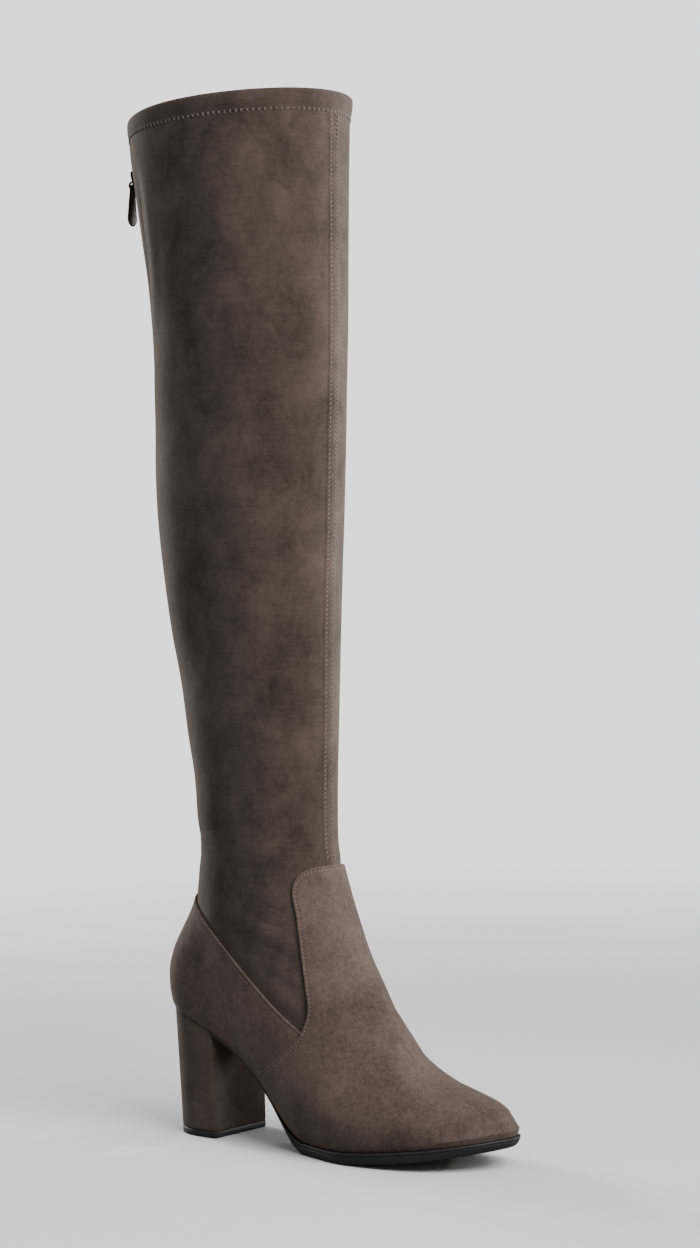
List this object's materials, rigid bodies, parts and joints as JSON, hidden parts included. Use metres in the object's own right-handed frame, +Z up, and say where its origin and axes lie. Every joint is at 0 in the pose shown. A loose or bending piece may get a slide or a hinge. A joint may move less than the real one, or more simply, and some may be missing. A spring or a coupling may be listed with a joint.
{
  "type": "thigh high boot",
  "caption": "Thigh high boot for the right foot with a stretch shaft, block heel, rubber sole and a short zip at the collar.",
  "frame": {"origin": "on the floor, at the middle of the heel's top lift", "axes": "+X from heel to toe, +Y to the inner side of the foot, +Z up"},
  "size_m": [0.2708, 0.1204, 0.622],
  "materials": {
    "stretch_suede": "soft stretch microsuede, matte, brushed nap",
    "vamp_suede": "suede, matte, short nap",
    "heel_suede": "suede cover over the block, matte",
    "sole_rubber": "dark rubber, satin",
    "insole_lining": "soft lining cloth",
    "zip_tape": "woven tape",
    "zip_metal": "black painted metal, satin"
  },
  "bodies": {
    "boot": {"upper": "stretch_suede", "collar_band": "stretch_suede", "vamp": "vamp_suede", "counter": "vamp_suede", "heel_block": "heel_suede", "top_lift": "sole_rubber", "outsole": "sole_rubber", "insole": "insole_lining", "zip_tape": "zip_tape", "zip_chain": "zip_metal", "zip_slider": "zip_metal"},
    "pull": {"zip_pull": "zip_metal"}
  },
  "joints": [
    {"name": "pull_swing", "type": "hinge", "parent": "boot", "child": "pull", "pos_m": [-0.05779, -0.01152, 0.57638], "axis": [-0.2173, 0.9761, 0], "range_deg": [0, 160]}
  ]
}
